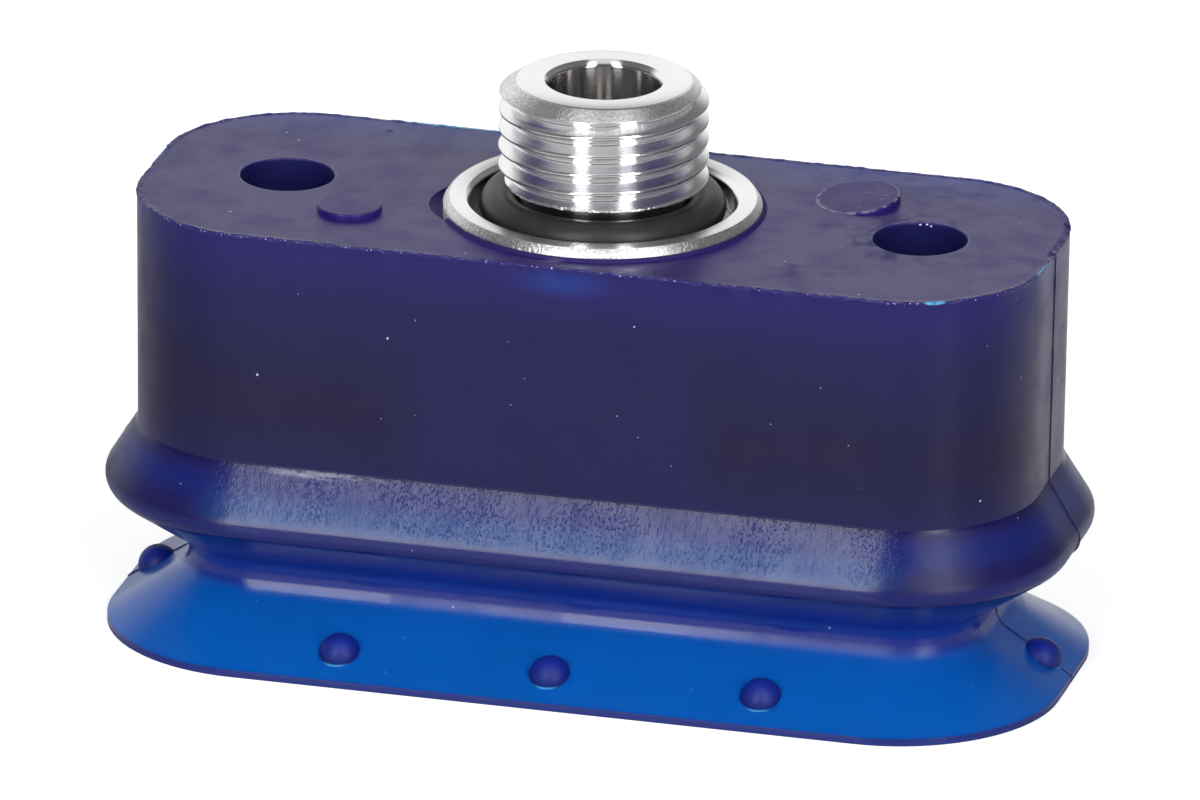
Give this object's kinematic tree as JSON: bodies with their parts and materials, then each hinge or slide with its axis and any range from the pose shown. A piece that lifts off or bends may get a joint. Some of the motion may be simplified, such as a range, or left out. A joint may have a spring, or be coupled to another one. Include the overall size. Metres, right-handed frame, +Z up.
{
  "type": "rectangular suction cup",
  "caption": "Rectangular bellows suction cup: a blue moulded block with a folded bellows and a thin flared lip, topped by a threaded metal air fitting with its sealing ring.",
  "frame": {"origin": "middle of the cup on the plane of the lip's rim", "axes": "+X along the cup, +Y across it, +Z up the thread's axis"},
  "size_m": [0.0458, 0.0208, 0.0273],
  "materials": {
    "moulded_polyurethane": "satin, see-through where thin",
    "turned_aluminium": "fine turned",
    "black_rubber": "satin"
  },
  "bodies": {
    "root": {"cup_body": "moulded_polyurethane", "threaded_fitting": "turned_aluminium", "o_ring": "black_rubber"}
  },
  "joints": []
}
